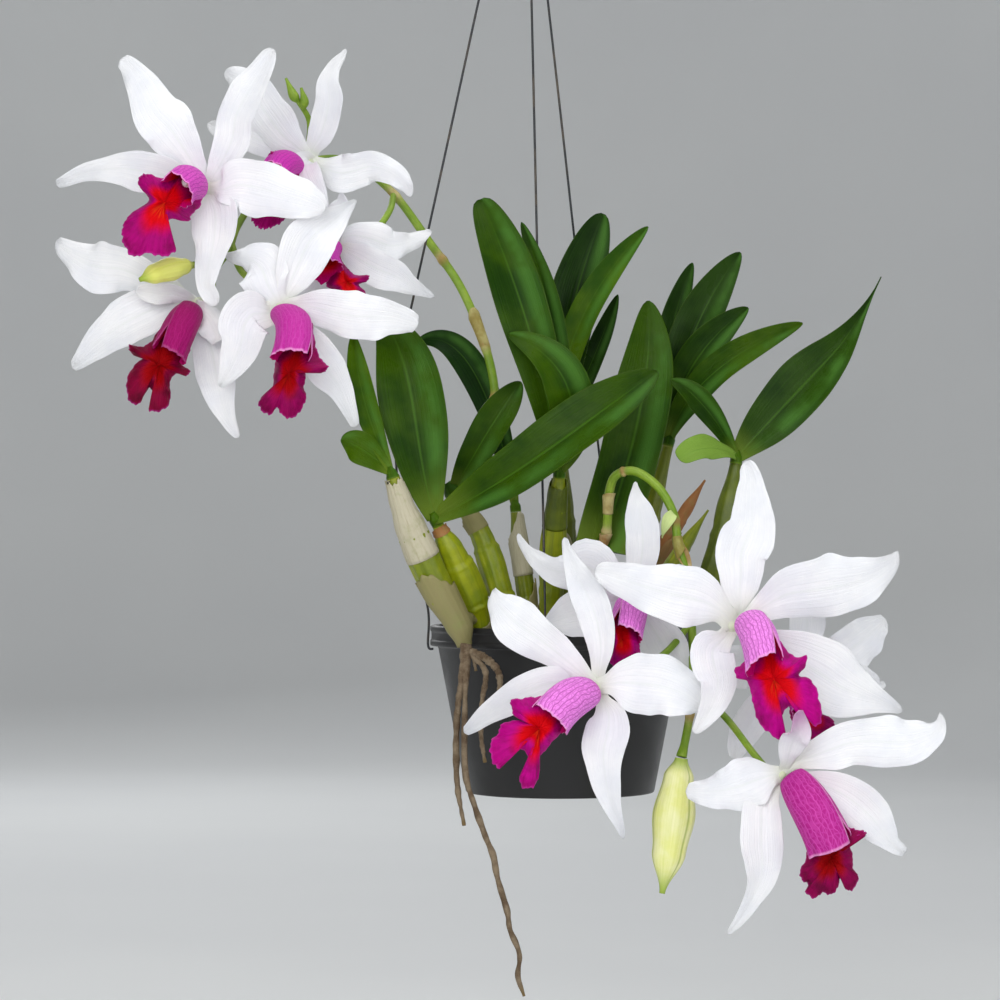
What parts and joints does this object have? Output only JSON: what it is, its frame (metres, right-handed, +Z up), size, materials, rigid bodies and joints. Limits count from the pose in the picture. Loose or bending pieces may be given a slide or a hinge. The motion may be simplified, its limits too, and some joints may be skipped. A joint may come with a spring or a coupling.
{
  "type": "potted orchid plant",
  "caption": "Flowering orchid in a hanging pot: strap leaves, pseudobulbs, arching stalks of wavy white blooms with magenta lips, aerial roots and a wire hanger.",
  "frame": {"origin": "inside of the top of the hanger hook's crook, where it lies on what holds it", "axes": "+Z up, +Y from the viewer into the plant, +X to the viewer's right"},
  "size_m": [0.3534, 0.2037, 0.5416],
  "materials": {
    "pot": "moulded, satin",
    "bark": "rough bark chips",
    "wire": "dull dark wire",
    "steel": "drawn rod",
    "sheath": "dry papery sheath",
    "bulb": "smooth, slightly ribbed",
    "leaf": "leathery, satin",
    "leaf_light": "leathery, satin",
    "root": "dull, spongy",
    "stalk": "smooth, satin",
    "bud": "smooth, satin",
    "petal": "matt, fleshy",
    "lip": "matt, fleshy"
  },
  "bodies": {
    "root": {"pot_shell": "pot", "bark_medium": "bark", "hanger_wire_left": "wire", "hanger_wire_front": "wire", "hanger_wire_back": "wire", "hanger_hook": "steel", "old_pseudobulb": "sheath", "left_pseudobulbs": "bulb", "middle_pseudobulbs": "bulb", "right_pseudobulbs": "bulb", "old_growth_leaves": "leaf_light", "left_front_leaves": "leaf", "left_back_leaf": "leaf", "left_inner_leaf": "leaf", "middle_leaves": "leaf", "rear_leaves": "leaf_light", "front_leaf": "leaf", "right_rear_leaves": "leaf", "right_leaves": "leaf", "aerial_roots": "root", "left_flower_stalk": "stalk", "right_flower_stalk": "stalk", "left_bud": "bud", "right_bud": "bud", "bloom_1_petals": "petal", "bloom_1_lip": "lip", "bloom_2_petals": "petal", "bloom_2_lip": "lip", "bloom_3_petals": "petal", "bloom_3_lip": "lip", "bloom_4_petals": "petal", "bloom_4_lip": "lip", "bloom_5_petals": "petal", "bloom_5_lip": "lip", "bloom_6_petals": "petal", "bloom_6_lip": "lip", "bloom_7_petals": "petal", "bloom_7_lip": "lip", "bloom_8_petals": "petal", "bloom_8_lip": "lip", "bloom_9_petals": "petal", "bloom_9_lip": "lip", "bloom_10_petals": "petal", "bloom_10_lip": "lip"}
  },
  "joints": []
}
